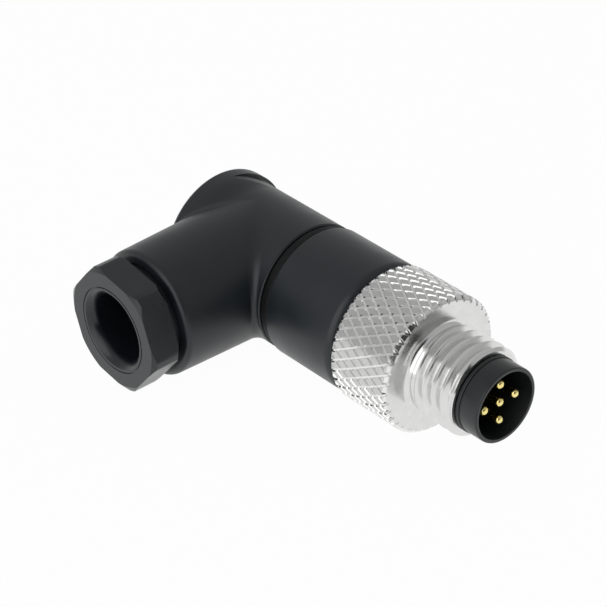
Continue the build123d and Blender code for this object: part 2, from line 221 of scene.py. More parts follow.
# Surfaces, with scales per metre and reliefs in metres
NOISE_LOW = 0.3
NOISE_HIGH = 0.7
COLOUR_LOW = 0.35
COLOUR_HIGH = 0.65
PLASTIC_CLOUDS = 450
PLASTIC_GRAIN = 9000
PLASTIC_BUMP = 0.35
PLASTIC_RELIEF = 0.000004
PLASTIC_IOR = 1.5
RUBBER_GRAIN = 5000
RUBBER_SHINE = 0.2
METAL_CLOUDS = 900
METAL_GRAIN = 6000
METAL_BUMP = 0.3
METAL_RELIEF = 0.000002
TURNED_RELIEF = 0.000001
TURNED_GRAIN = 0.2
TURNED_ANGLE = 0.25

# Radial distances on the ring where the painted highlight and painted shade change, below the
# grooves and below the tops
KNURL_HIGHLIGHT_START = 0.08
KNURL_HIGHLIGHT_END = 0.04
KNURL_PAINTED_SHADE_START = 0.05
KNURL_PAINTED_SHADE_END = 0.015

# Shares of the ring's own colour: painted shade on the diamonds' tops, painted highlight in the
# grooves
KNURL_TOP_PAINTED_SHADE = 0.72
KNURL_GROOVE_PAINTED_HIGHLIGHT = 1.15

# Floor and surroundings
FLOOR_Z = -6.04
FLOOR_R = 1500
FLOOR_STEPS = 64
FLOOR_SHADE = 0.9
FLOOR_ROUGHNESS = 0.9
FLOOR_GLOW = 0.97
HORIZON_LOW = -0.03
HORIZON_HIGH = 0.08
SKY_SPREAD = 0.5
SKY_BEHIND = 0.56
SKY_AHEAD = 0.48
DARK_WAY = (0.74, -0.46, 0.42)
DARK_REACH = math.radians(35)
DARK_EDGE = math.radians(8)
DARK_STRENGTH = 0.06

# Lamp and camera, in metres
LIT_PLACE = (-0.011, -0.003, 0)
LAMP_WAY = (0.25, -0.85, 0.45)
LAMP_DISTANCE = 0.5
LAMP_SIDE = 0.6
LAMP_POWER = 1.4
VIEW_AZIMUTH = math.radians(49.058)
VIEW_ELEVATION = math.radians(33.856)
VIEW_ROLL = math.radians(-1.106)
VIEW_LENS = 149.72
VIEW_SENSOR = 36
VIEW_DISTANCE = 0.21425
VIEW_RIGHT = 0.003560
VIEW_DOWN = 0.003898


# Mesh helpers

def rounded(*corners, steps=6):
    """Outline points from (x, r) or (x, r, rounding) corners of a closed outline"""
    points = []
    count = len(corners)
    for i, corner in enumerate(corners):
        here = Vector(corner[:2])
        radius = corner[2] if len(corner) > 2 else 0
        if not radius:
            points.append(tuple(here))
            continue
        back = (Vector(corners[i - 1][:2]) - here).normalized()
        ahead = (Vector(corners[(i + 1) % count][:2]) - here).normalized()
        half = back.angle(ahead) / 2
        middle = here + (back + ahead).normalized() * radius / math.sin(half)
        start = here + back * radius / math.tan(half)
        end = here + ahead * radius / math.tan(half)
        for step in range(steps + 1):
            share = step / steps
            way = (start - middle).lerp(end - middle, share)
            sweep = (start - middle).angle(end - middle)
            if sweep > SMALL:
                way = (
                    (start - middle) * math.sin((1 - share) * sweep)
                    + (end - middle) * math.sin(share * sweep)
                ) / math.sin(sweep)
            points.append(tuple(middle + way))
    return points


def new_object(name, bm):
    """Object with the finished bmesh, its faces turned outwards"""
    bmesh.ops.recalc_face_normals(bm, faces=bm.faces)
    mesh = bpy.data.meshes.new(name)
    bm.to_mesh(mesh)
    bm.free()
    obj = bpy.data.objects.new(name, mesh)
    bpy.context.scene.collection.objects.link(obj)
    return obj


def lathe_bmesh(outline, steps=TURN_STEPS):
    """Closed mesh turned about X from a closed outline of (x, r) points"""
    bm = bmesh.new()
    rings = []
    for x, r in outline:
        if r < SMALL:
            rings.append([bm.verts.new((x, 0, 0))])
            continue
        turns = [2 * math.pi * step / steps for step in range(steps)]
        rings.append([bm.verts.new((x, r * math.sin(t), r * math.cos(t))) for t in turns])
    for one, two in zip(rings, rings[1:] + rings[:1]):
        if len(one) == 1 and len(two) == 1:
            continue
        for step in range(steps):
            after = (step + 1) % steps
            if len(one) == 1:
                bm.faces.new((one[0], two[step], two[after]))
            elif len(two) == 1:
                bm.faces.new((one[after], one[step], two[0]))
            else:
                bm.faces.new((one[after], one[step], two[step], two[after]))
    return bm


def lathe(name, outline, steps=TURN_STEPS):
    return new_object(name, lathe_bmesh(outline, steps))


def rod(name, start, end, radius, steps=TURN_STEPS):
    return lathe(name, [(start, 0), (start, radius), (end, radius), (end, 0)], steps)


def tube(name, start, end, outer_r, inner_r, steps=TURN_STEPS):
    outline = [(start, inner_r), (start, outer_r), (end, outer_r), (end, inner_r)]
    return lathe(name, outline, steps)


def to_branch(obj):
    """Turns a mesh built along +X so that it points along the cable branch"""
    obj.data.transform(Matrix.Translation((ELBOW_X, 0, 0)) @ Matrix.Rotation(-math.pi / 2, 4, "Z"))
    return obj


def combined(base, *steps):
    """Base after a list of (operation, object) mesh operations, whose objects are used up"""
    for operation, tool in steps:
        modifier = base.modifiers.new("step", "BOOLEAN")
        modifier.operation = operation
        modifier.solver = "EXACT"
        modifier.object = tool
        bpy.context.view_layer.update()
        graph = bpy.context.evaluated_depsgraph_get()
        mesh = bpy.data.meshes.new_from_object(base.evaluated_get(graph))
        base.modifiers.clear()
        base.data = mesh
        bpy.data.objects.remove(tool)
    return base


def finish_piece(obj, body, slot, material, *nodes):
    """Scales a finished mesh to metres, shades it and ties it to its body"""
    obj.data.transform(Matrix.Scale(MM, 4))
    obj.data.materials.clear()
    obj.data.materials.append(material)
    obj.data.polygons.foreach_set("use_smooth", [True] * len(obj.data.polygons))
    obj.data.set_sharp_from_angle(angle=SHARP_ANGLE)
    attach(obj, body)
    if nodes:
        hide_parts(*nodes)
    return obj


# Materials

def node_material(name):
    material = bpy.data.materials.new(name)
    material.use_nodes = True
    nodes = material.node_tree.nodes
    shader = nodes["Principled BSDF"]
    return material, nodes, material.node_tree.links, shader


def noise(nodes, links, scale, detail, coordinates):
    texture = nodes.new("ShaderNodeTexNoise")
    texture.inputs["Scale"].default_value = scale
    texture.inputs["Detail"].default_value = detail
    links.new(coordinates.outputs["Object"], texture.inputs["Vector"])
    return texture


def ranged(nodes, links, source, low, high):
    """Value of a texture spread between two numbers"""
    spread = nodes.new("ShaderNodeMapRange")
    spread.inputs["From Min"].default_value = NOISE_LOW
    spread.inputs["From Max"].default_value = NOISE_HIGH
    spread.inputs["To Min"].default_value = low
    spread.inputs["To Max"].default_value = high
    links.new(source.outputs["Fac"], spread.inputs["Value"])
    return spread


def mixed_colour(nodes, links, source, first, second):
    ramp = nodes.new("ShaderNodeValToRGB")
    ramp.color_ramp.elements[0].position = COLOUR_LOW
    ramp.color_ramp.elements[0].color = (*first, 1)
    ramp.color_ramp.elements[1].position = COLOUR_HIGH
    ramp.color_ramp.elements[1].color = (*second, 1)
    links.new(source.outputs["Fac"], ramp.inputs["Fac"])
    return ramp


def bumped(nodes, links, source, shader, strength, distance):
    bump = nodes.new("ShaderNodeBump")
    bump.inputs["Strength"].default_value = strength
    bump.inputs["Distance"].default_value = distance
    links.new(source.outputs["Fac"], bump.inputs["Height"])
    links.new(bump.outputs["Normal"], shader.inputs["Normal"])


def smooth_step(nodes, links, source, start, end, first, second):
    """Number that changes softly between two values while the source goes from start to end"""
    spread = nodes.new("ShaderNodeMapRange")
    spread.interpolation_type = "SMOOTHSTEP"
    spread.inputs["From Min"].default_value = start
    spread.inputs["From Max"].default_value = end
    spread.inputs["To Min"].default_value = first
    spread.inputs["To Max"].default_value = second
    links.new(source, spread.inputs["Value"])
    return spread.outputs["Result"]


def plastic(name, dark, light, rough_low, rough_high, grain=PLASTIC_GRAIN, shine=0.5):
    """Moulded plastic or rubber with a fine spark-eroded grain"""
    material, nodes, links, shader = node_material(name)
    coordinates = nodes.new("ShaderNodeTexCoord")
    cloudy = noise(nodes, links, PLASTIC_CLOUDS, 3, coordinates)
    fine = noise(nodes, links, grain, 4, coordinates)
    colour = mixed_colour(nodes, links, cloudy, dark, light)
    links.new(colour.outputs["Color"], shader.inputs["Base Color"])
    rough = ranged(nodes, links, cloudy, rough_low, rough_high)
    links.new(rough.outputs["Result"], shader.inputs["Roughness"])
    bumped(nodes, links, fine, shader, PLASTIC_BUMP, PLASTIC_RELIEF)
    shader.inputs["IOR"].default_value = PLASTIC_IOR
    shader.inputs["Specular IOR Level"].default_value = shine
    return material


def metal(name, dark, light, rough_low, rough_high, relief=METAL_RELIEF):
    """Plated metal with faint clouding and fine surface grain"""
    material, nodes, links, shader = node_material(name)
    coordinates = nodes.new("ShaderNodeTexCoord")
    cloudy = noise(nodes, links, METAL_CLOUDS, 4, coordinates)
    fine = noise(nodes, links, METAL_GRAIN, 3, coordinates)
    colour = mixed_colour(nodes, links, cloudy, dark, light)
    links.new(colour.outputs["Color"], shader.inputs["Base Color"])
    rough = ranged(nodes, links, cloudy, rough_low, rough_high)
    links.new(rough.outputs["Result"], shader.inputs["Roughness"])
    bumped(nodes, links, fine, shader, METAL_BUMP, relief)
    shader.inputs["Metallic"].default_value = 1
    return material


def turned_metal(name, dark, light, rough_low, rough_high):
    """Plated metal with the fine rings that turning about the mating axis leaves"""
    material = metal(name, dark, light, rough_low, rough_high, TURNED_RELIEF)
    nodes, links = material.node_tree.nodes, material.node_tree.links
    shader = nodes["Principled BSDF"]
    around = nodes.new("ShaderNodeTangent")
    around.direction_type = "RADIAL"
    around.axis = "X"
    links.new(around.outputs["Tangent"], shader.inputs["Tangent"])
    shader.inputs["Anisotropic"].default_value = TURNED_GRAIN
    shader.inputs["Anisotropic Rotation"].default_value = TURNED_ANGLE
    # Painted highlight in the knurl's grooves and painted shade on its diamonds' tops
    paint_knurl_highlight_and_shade(nodes, links, shader)
    return material


def distance_from_axis(nodes, links):
    """Distance of a surface point from the mating axis, in metres"""
    split = nodes.new("ShaderNodeSeparateXYZ")
    links.new(nodes.new("ShaderNodeTexCoord").outputs["Object"], split.inputs["Vector"])
    across = nodes.new("ShaderNodeCombineXYZ")
    links.new(split.outputs["Y"], across.inputs["Y"])
    links.new(split.outputs["Z"], across.inputs["Z"])
    radius = nodes.new("ShaderNodeVectorMath")
    radius.operation = "LENGTH"
    links.new(across.outputs["Vector"], radius.inputs[0])
    return radius.outputs["Value"]


def paint_knurl_highlight_and_shade(nodes, links, shader):
    """Painted highlight in the knurl's grooves and painted shade on its diamonds' tops, scaled
    into the base colour by distance from the axis
    """
    place = distance_from_axis(nodes, links)
    groove_start = (RING_R - KNURL_DEPTH - KNURL_HIGHLIGHT_START) * MM
    groove_end = (RING_R - KNURL_DEPTH - KNURL_HIGHLIGHT_END) * MM
    top_start = (RING_R - KNURL_PAINTED_SHADE_START) * MM
    top_end = (RING_R - KNURL_PAINTED_SHADE_END) * MM
    # Painted highlight: the colour in the grooves is brightened
    grooves = smooth_step(nodes, links, place, groove_start, groove_end, 1, KNURL_GROOVE_PAINTED_HIGHLIGHT)
    # Painted shade: the colour on the diamonds' tops is darkened
    tops = smooth_step(nodes, links, place, top_start, top_end, 1, KNURL_TOP_PAINTED_SHADE)
    both = nodes.new("ShaderNodeMath")
    both.operation = "MULTIPLY"
    links.new(grooves, both.inputs[0])
    links.new(tops, both.inputs[1])
    shaded = nodes.new("ShaderNodeVectorMath")
    shaded.operation = "SCALE"
    links.new(shader.inputs["Base Color"].links[0].from_socket, shaded.inputs[0])
    links.new(both.outputs["Value"], shaded.inputs["Scale"])
    links.new(shaded.outputs["Vector"], shader.inputs["Base Color"])


def make_materials():
    return {
        "housing": plastic(
            "housing_plastic", (0.006, 0.0095, 0.012), (0.008, 0.0122, 0.0152), 0.38, 0.44
        ),
        "sleeve": plastic(
            "sleeve_plastic", (0.006, 0.0098, 0.013), (0.008, 0.0125, 0.0165), 0.36, 0.42
        ),
        "nut": plastic("nut_plastic", (0.006, 0.0085, 0.0105), (0.008, 0.011, 0.0135), 0.26, 0.32),
        "carrier": plastic(
            "insert_plastic", (0.0065, 0.0088, 0.0098), (0.0085, 0.011, 0.0122), 0.32, 0.38
        ),
        "insulator": plastic("inner_plastic", (0.03, 0.03, 0.031), (0.04, 0.04, 0.042), 0.5, 0.58),
        "front_seal": plastic(
            "moulded_rubber", (0.0065, 0.0085, 0.0095), (0.008, 0.0105, 0.0115), 0.42, 0.5
        ),
        "seal": plastic(
            "rubber",
            (0.003, 0.0032, 0.0035),
            (0.005, 0.0052, 0.0055),
            0.5,
            0.6,
            RUBBER_GRAIN,
            RUBBER_SHINE,
        ),
        "nickel": turned_metal(
            "nickel_plating", (0.69, 0.69, 0.685), (0.74, 0.74, 0.735), 0.15, 0.2
        ),
        "spring_steel": metal("spring_steel", (0.42, 0.42, 0.43), (0.52, 0.52, 0.53), 0.3, 0.4),
        "gold": metal("gold_plating", (0.87, 0.73, 0.27), (0.93, 0.8, 0.35), 0.14, 0.2),
    }


# Coupling ring

def knurl_height(share_a, share_b):
    """Depth below the ring's surface at a place in one diamond, from 0 to 1 across each way"""
    def groove(share):
        near = min(share, 1 - share)
        rise = (KNURL_GROOVE - near) / (KNURL_GROOVE - KNURL_FLOOR)
        return KNURL_DEPTH * min(max(rise, 0), 1)
    return max(groove(share_a), groove(share_b))


def knurl_shares():
    """Places across a diamond where the surface changes slope"""
    return [0, KNURL_FLOOR, KNURL_GROOVE, 0.5, 1 - KNURL_GROOVE, 1 - KNURL_FLOOR]


def knurl_skin(bm):
    """Open knurled band on a lattice along the two groove families, longer than the ring"""
    shares = knurl_shares()
    per_cell = len(shares)
    around = KNURL_TEETH * per_cell
    turn_step = 2 * math.pi / KNURL_TEETH
    middle = (RING_BACK + RING_FRONT) / 2
    reach = (RING_FRONT - RING_BACK) / 2 + KNURL_ROW
    placed = {}

    def lattice_point(i, j):
        cell_a, part_a = divmod(i, per_cell)
        cell_b, part_b = divmod(j, per_cell)
        a, b = cell_a + shares[part_a], cell_b + shares[part_b]
        x = middle + (a - b) / 2 * KNURL_ROW
        turn = (a + b) / 2 * turn_step
        return x, turn, knurl_height(shares[part_a], shares[part_b])

    def vertex(i, j):
        wrapped = (i + j) // (2 * around)
        key = (i - wrapped * around, j - wrapped * around)
        if key not in placed:
            x, turn, depth = lattice_point(*key)
            r = RING_R - depth
            placed[key] = bm.verts.new((x, r * math.sin(turn), r * math.cos(turn)))
        return placed[key]

    half = per_cell / 2
    for i in range(-2 * around, 3 * around):
        for j in range(-2 * around, 3 * around):
            if not 0 <= i + j < 2 * around:
                continue
            if abs(lattice_point(i, j)[0] - middle) > reach:
                continue
            corners = (vertex(i, j), vertex(i + 1, j), vertex(i + 1, j + 1), vertex(i, j + 1))
            part_a, part_b = i % per_cell, j % per_cell
            near_a = min(part_a, per_cell - 1 - part_a)
            near_b = min(part_b, per_cell - 1 - part_b)
            if near_a != near_b or near_a >= half - 1:
                bm.faces.new(corners)
            elif (part_a < half) == (part_b < half):
                bm.faces.new((corners[0], corners[1], corners[2]))
                bm.faces.new((corners[0], corners[2], corners[3]))
            else:
                bm.faces.new((corners[0], corners[1], corners[3]))
                bm.faces.new((corners[1], corners[2], corners[3]))


def cut_at(bm, x, clear_above=False, clear_below=False):
    """Cuts the mesh at one place along X, and clears one side if told to"""
    bmesh.ops.bisect_plane(
        bm,
        geom=list(bm.verts) + list(bm.edges) + list(bm.faces),
        dist=SMALL,
        plane_co=(x, 0, 0),
        plane_no=(1, 0, 0),
        clear_outer=clear_above,
        clear_inner=clear_below,
    )


def bevel_ends(bm):
    """Slopes both ends of the knurled band, with the grooves kept over the slope"""
    for vertex in bm.verts:
        r = math.hypot(vertex.co.y, vertex.co.z)
        to_end = min(RING_FRONT - vertex.co.x, vertex.co.x - RING_BACK)
        share = (r - max(RING_BEVEL - to_end, 0)) / r
        vertex.co.y *= share
        vertex.co.z *= share


def knurl_band():
    """Knurled band cut to the ring's length, with its bevelled ends"""
    bm = bmesh.new()
    knurl_skin(bm)
    cut_at(bm, RING_FRONT, clear_above=True)
    cut_at(bm, RING_BACK, clear_below=True)
    for step in range(1, BEVEL_STEPS + 1):
        cut_at(bm, RING_FRONT - step / BEVEL_STEPS * RING_BEVEL)
        cut_at(bm, RING_BACK + step / BEVEL_STEPS * RING_BEVEL)
    bevel_ends(bm)
    return bm


def thread_shape():
    """Places across one turn of the thread, each with its share of the full depth"""
    flank = THREAD_DEPTH * math.tan(THREAD_FLANK_ANGLE) / THREAD_PITCH
    crest = THREAD_CREST / 2 / THREAD_PITCH
    root = 0.5 - crest - flank
    side = [
        (0, 0),
        (crest * 0.8, 0),
        (crest + flank * 0.05, 0.07),
        (crest + flank * 0.3, 0.31),
        (crest + flank * 0.6, 0.6),
        (crest + flank * 0.9, 0.89),
        (crest + flank, 0.97),
        (crest + flank + root * 0.5, 1),
    ]
    back = [(1 - share, depth) for share, depth in reversed(side[1:])]
    return side + [(0.5, 1)] + back


def spindle_radius(x, depth):
    """Radius of the threaded spindle at a place along X for a share of the thread's depth"""
    if x <= RING_FRONT + RING_FILLET:
        rise = RING_FRONT + RING_FILLET - x
        return RELIEF_R + RING_FILLET - math.sqrt(max(RING_FILLET**2 - rise**2, 0))
    top = THREAD_R
    if x < THREAD_START:
        return RELIEF_R
    if x < THREAD_FULL:
        top = RELIEF_R + (THREAD_R - RELIEF_R) * (x - THREAD_START) / (THREAD_FULL - THREAD_START)
    if x > THREAD_END - THREAD_BEVEL:
        top = THREAD_R - (x - THREAD_END + THREAD_BEVEL)
    fade = min(max((x - THREAD_START) / (THREAD_PITCH * THREAD_RUN_IN), 0), 1)
    root = RELIEF_R + (THREAD_R - THREAD_DEPTH - RELIEF_R) * fade
    return min(top, THREAD_R - depth * (THREAD_R - root))


def spindle_band():
    """Outside of the threaded spindle on a lattice that follows the thread's helix"""
    bm = bmesh.new()
    layer = bm.verts.layers.float.new("depth")
    shape = thread_shape()
    per_turn = len(shape)
    turns_back = math.ceil(-RING_FRONT / THREAD_PITCH) + 2
    turns_ahead = math.ceil(THREAD_END / THREAD_PITCH) + 2
    rows = range(-turns_back * per_turn, turns_ahead * per_turn)
    placed = {}

    def vertex(row, step):
        if step == THREAD_STEPS:
            row, step = row + per_turn, 0
        if (row, step) not in placed:
            turn, part = divmod(row, per_turn)
            share, depth = shape[part]
            x = THREAD_PITCH * (turn + share + step / THREAD_STEPS)
            angle = -2 * math.pi * step / THREAD_STEPS
            placed[row, step] = bm.verts.new((x, math.sin(angle), math.cos(angle)))
            placed[row, step][layer] = depth
        return placed[row, step]

    for row in rows:
        for step in range(THREAD_STEPS):
            near = vertex(row, step), vertex(row + 1, step)
            far = vertex(row + 1, step + 1), vertex(row, step + 1)
            bm.faces.new(near + far)
    return bm, layer


def spindle_stops():
    """Places along the spindle where its radius changes slope"""
    stops = [THREAD_START, THREAD_FULL, RING_FRONT + RING_FILLET]
    for step in range(1, FILLET_STEPS):
        turn = math.pi / 2 * step / FILLET_STEPS
        stops.append(RING_FRONT + RING_FILLET * (1 - math.cos(turn)))
    for step in range(1, BEVEL_STEPS + 1):
        stops.append(THREAD_END - THREAD_BEVEL * step / BEVEL_STEPS)
    return stops


def threaded_spindle():
    """Threaded spindle with its fillet, from the ring's face to its bevelled end"""
    bm, layer = spindle_band()
    cut_at(bm, THREAD_END, clear_above=True)
    cut_at(bm, RING_FRONT, clear_below=True)
    for x in spindle_stops():
        cut_at(bm, x)
    for v in bm.verts:
        r = spindle_radius(v.co.x, v[layer])
        length = math.hypot(v.co.y, v.co.z)
        v.co.y *= r / length
        v.co.z *= r / length
    return bm


def ring_hollow():
    """Inside surface of the coupling ring, open at both ends"""
    outline = [
        (RING_BACK, RING_SOCKET_R),
        (RING_GROOVE_BACK, RING_SOCKET_R),
        (RING_GROOVE_BACK, RING_GROOVE_R),
        (RING_GROOVE_FRONT, RING_GROOVE_R),
        (RING_GROOVE_FRONT, RING_SOCKET_R),
        (RING_WEB_BACK, RING_SOCKET_R),
        (RING_WEB_BACK, RING_BORE_R),
        (THREAD_END, RING_BORE_R),
    ]
    bm = lathe_bmesh(outline, TURN_STEPS)
    closing = [
        f for f in bm.faces
        if min(v.co.x for v in f.verts) < RING_BACK + SMALL
        and max(v.co.x for v in f.verts) > THREAD_END - SMALL
    ]
    bmesh.ops.delete(bm, geom=closing, context="FACES")
    return bm


def add_mesh(bm, other):
    mesh = bpy.data.meshes.new("part")
    other.to_mesh(mesh)
    other.free()
    bm.from_mesh(mesh)
    bpy.data.meshes.remove(mesh)


def fill_flat(bm, x):
    """Closes the flat ring between the two open edge loops at one place along X"""
    edges = [
        e for e in bm.edges
        if e.is_boundary and all(abs(v.co.x - x) < FLAT_TOLERANCE for v in e.verts)
    ]
    bmesh.ops.triangle_fill(bm, use_beauty=True, use_dissolve=False, edges=edges, normal=(1, 0, 0))


def coupling_ring(materials):
    bm = knurl_band()
    add_mesh(bm, threaded_spindle())
    add_mesh(bm, ring_hollow())
    for x in (RING_FRONT, RING_BACK, THREAD_END):
        fill_flat(bm, x)
    obj = new_object("knurled_ring", bm)
    return finish_piece(obj, "ring", "nickel", materials["nickel"], "coupling_ring")


# Elbow housing

def branch_radius(u):
    """Radius of the branch at a distance from the elbow's centre"""
    growth = (1 - math.cos(math.pi * min(u / BRANCH_TAPER_START, 1))) / 2
    share = max(u - BRANCH_TAPER_START, 0) / (BRANCH_END - BRANCH_TAPER_START)
    return HOUSING_R + (BRANCH_R - HOUSING_R) * growth + (BRANCH_END_R - BRANCH_R) * share


def barrel_radius(x):
    """Radius of the barrel, of its flare and of the cap at a place along X on the branch side"""
    share = min(max((x - CAP_FRONT) / SHOULDER_LENGTH, 0), 1)
    return HOUSING_R + (CAP_R - HOUSING_R) * (1 + math.cos(math.pi * share)) / 2


def relieved_radius(x, turn):
    """Radius of the barrel at one angle from the top, less its relief away from the branch"""
    away = max(-math.sin(turn), 0)
    across = SHOULDER_RELIEF**2 * (1 - away**2)
    relieved = math.sqrt(SHOULDER_RELIEF_R**2 - across) - SHOULDER_RELIEF * away
    bevel = max(SMALL_BEVEL + CAP_FRONT - x, 0)
    return min(barrel_radius(x), max(relieved, HOUSING_R - bevel))


def crease_ball(turn, side):
    """Centre and radius of the ball that rounds the elbow's crease at an angle from the top"""
    rounding = CREASE_R if side > 0 else BACK_CREASE_R
    rounding += CREASE_GROWTH * (1 - math.sin(turn))
    x = side * (BRANCH_R + rounding) * math.sin(turn)
    y = z = 0
    for _ in range(CREASE_ROUNDS):
        reach = barrel_radius(ELBOW_X + x) + rounding
        y = -reach * math.sin(turn)
        z = reach * math.cos(turn)
        span = branch_radius(-y) + rounding
        x = side * math.sqrt(max(span**2 - z**2, 0))
    return Vector((x, y, z)), rounding


def crease_arc(turn, side):
    """Rounded crease from the barrel to the branch at an angle from the top"""
    middle, rounding = crease_ball(turn, side)
    on_barrel = Vector((0, middle.y, middle.z)).normalized() * -rounding
    on_branch = Vector((middle.x, 0, middle.z)).normalized() * -rounding
    sweep = on_barrel.angle(on_branch)
    if sweep < SMALL:
        return [middle + on_barrel] * (CREASE_STEPS + 1)
    arc = []
    for step in range(CREASE_STEPS + 1):
        share = step / CREASE_STEPS
        way = on_barrel * math.sin((1 - share) * sweep) + on_branch * math.sin(share * sweep)
        arc.append(middle + way / math.sin(sweep))
    return arc


def on_barrel_side(x, turn):
    r = relieved_radius(x, turn)
    return Vector((x - ELBOW_X, -r * math.sin(turn), r * math.cos(turn)))


def branch_line(start):
    """Points along the branch from its crease to its rounded end"""
    across = Vector((start.x, 0, start.z)).normalized()
    places = spread_places(-start.y, BRANCH_END - BRANCH_END_ROUND)[1:]
    straight = [(u, branch_radius(u)) for u in places]
    edge = (BRANCH_END, BRANCH_END_R, BRANCH_END_ROUND)
    corner = rounded(straight[-1], edge, (BRANCH_END, 0), steps=10)
    return [across * r + Vector((0, -u, 0)) for u, r in straight + corner[1:-1]]


def spread_places(first, last):
    """Even places from the first to the last one"""
    return [first + (last - first) * s / STATION_STEPS for s in range(STATION_STEPS + 1)]


def back_stations():
    """Places along X from behind the cap to the elbow's centre"""
    behind = [BODY_BACK, CAP_BACK, (CAP_BACK + CAP_FRONT) / 2, CAP_FRONT]
    edge = [CAP_FRONT + stop for stop in (*BEVEL_STOPS, SMALL_BEVEL)]
    return behind + edge + spread_places(edge[-1], ELBOW_X)[1:]


def front_stations():
    """Places along X from the housing's front bevel back to the elbow's centre"""
    return spread_places(HOUSING_FRONT - SMALL_BEVEL, ELBOW_X)


def front_end():
    """Outline of the housing in front of its barrel: bevel, seal seat and spigot"""
    return rounded(
        (SPIGOT_END, 0),
        (SPIGOT_END, SPIGOT_R, SMALL_BEVEL),
        (SLEEVE_BACK, SPIGOT_R),
        (SLEEVE_BACK, SEAL_SEAT_R),
        (HOUSING_FRONT, SEAL_SEAT_R),
        (HOUSING_FRONT, HOUSING_R, SMALL_BEVEL),
        (HOUSING_FRONT - 2 * SMALL_BEVEL, HOUSING_R),
    )[1:-2]


def crease_column(turn, side):
    """Points from one end of the barrel over the crease to the end of the branch"""
    arc = crease_arc(turn, side)
    stations = front_stations() if side > 0 else back_stations()
    first = stations[0]
    stretch = (arc[0].x + ELBOW_X - first) / (ELBOW_X - first)
    places = [first + (x - first) * stretch for x in stations]
    return [on_barrel_side(x, turn) for x in places[:-1]] + arc + branch_line(arc[-1])


def turned_outline(outline, turn):
    return [Vector((x - ELBOW_X, -r * math.sin(turn), r * math.cos(turn))) for x, r in outline]


def sheet(bm, columns):
    """Faces between neighbouring columns of points"""
    rows = [[bm.verts.new(point) for point in column] for column in columns]
    for one, two in zip(rows, rows[1:]):
        for k in range(len(one) - 1):
            bm.faces.new((one[k], one[k + 1], two[k + 1], two[k]))


def elbow_body():
    """Outside of the elbow as one closed surface, with its crease rounded"""
    bm = bmesh.new()
    turns = [math.pi * i / CREASE_COLUMNS for i in range(CREASE_COLUMNS + 1)]
    across = back_stations() + front_stations()[-2::-1]
    sheet(bm, [crease_column(turn, 1) for turn in turns])
    sheet(bm, [crease_column(turn, -1) for turn in turns])
    sheet(bm, [[on_barrel_side(x, -turn) for x in across] for turn in turns])
    sheet(bm, [turned_outline(front_end(), 2 * turn) for turn in turns])
    bmesh.ops.remove_doubles(bm, verts=bm.verts, dist=MERGE_DISTANCE)
    bmesh.ops.translate(bm, vec=(ELBOW_X, 0, 0), verts=bm.verts)
    bmesh.ops.holes_fill(bm, edges=[e for e in bm.edges if e.is_boundary], sides=0)
    return new_object("angled_housing", bm)


def elbow_chamber():
    return lathe(
        "chamber",
        [
            (CAP_FRONT - 1, 0),
            (CAP_FRONT - 1, CHAMBER_R),
            (CHAMBER_FRONT, CHAMBER_R),
            (CHAMBER_FRONT, SPIGOT_BORE_R),
            (SPIGOT_END + 1, SPIGOT_BORE_R),
            (SPIGOT_END + 1, 0),
        ],
    )


def branch_bore():
    return lathe(
        "branch_bore",
        [
            (0, 0),
            (0, THROAT_R),
            (SEAT_FLOOR, THROAT_R),
            (SEAT_FLOOR, SEAT_R),
            (SEAL_FRONT, SEAT_R),
            (SEAL_FRONT, GLAND_THREAD_R),
            (BRANCH_END + 1, GLAND_THREAD_R),
            (BRANCH_END + 1, 0),
        ],
    )


def cap_space():
    end, radius = CAP_FRONT + FIT_GAP, CAP_R + FIT_GAP
    return rod("cap_space", BODY_BACK - 1, end, radius, 2 * TURN_STEPS)


def elbow_housing(materials):
    """Elbow with its hollows, trimmed where the back crease would reach past BODY_END"""
    obj = combined(
        elbow_body(),
        ("DIFFERENCE", cap_space()),
        ("DIFFERENCE", elbow_chamber()),
        ("DIFFERENCE", to_branch(branch_bore())),
    )
    for vertex in obj.data.vertices:
        vertex.co.x = max(vertex.co.x, BODY_END)
    return finish_piece(obj, "elbow", "housing", materials["housing"], "elbow_housing")


def rear_cap(materials):
    plug_end = CAP_FRONT + CAP_PLUG_LENGTH
    plug_r = CHAMBER_R - FIT_GAP
    groove_r = plug_r - CAP_GROOVE_DEPTH
    hollow_r = plug_r - CAP_WALL
    obj = lathe(
        "end_cap",
        rounded(
            (CAP_BACK, 0),
            (CAP_BACK, CAP_R, CAP_ROUND),
            (CAP_FRONT + CAP_GAP, CAP_R),
            (CAP_FRONT + CAP_GAP, plug_r),
            (CAP_FRONT + CAP_GROOVE_BACK, plug_r),
            (CAP_FRONT + CAP_GROOVE_BACK, groove_r),
            (CAP_FRONT + CAP_GROOVE_FRONT, groove_r),
            (CAP_FRONT + CAP_GROOVE_FRONT, plug_r),
            (plug_end, plug_r),
            (plug_end, hollow_r),
            (CAP_BACK + CAP_WALL, hollow_r),
            (CAP_BACK + CAP_WALL, 0),
            steps=8,
        ),
        2 * TURN_STEPS,
    )
    return finish_piece(obj, "elbow", "housing", materials["housing"], "rear_cap")


def front_sleeve(materials):
    obj = lathe(
        "front_collar",
        rounded(
            (SLEEVE_BACK, SPIGOT_R + THREAD_GAP),
            (SLEEVE_BACK, SLEEVE_R, SMALL_BEVEL),
            (SLEEVE_FRONT, SLEEVE_R, SLEEVE_ROUND),
            (SLEEVE_FRONT, NOSE_R),
            (SNAP_SEAT_BACK, NOSE_R),
            (SNAP_SEAT_BACK, SNAP_SEAT_R),
            (SNAP_SEAT_FRONT, SNAP_SEAT_R),
            (SNAP_SEAT_FRONT, NOSE_R),
            (NOSE_END, NOSE_R, NOSE_ROUND),
            (NOSE_END, NECK_R + THREAD_GAP),
            (SLEEVE_SHOULDER, NECK_R + THREAD_GAP),
            (SLEEVE_SHOULDER, SPIGOT_R + THREAD_GAP),
            steps=12,
        ),
    )
    return finish_piece(obj, "sleeve", "sleeve", materials["sleeve"], "front_sleeve")


# Insert and contacts

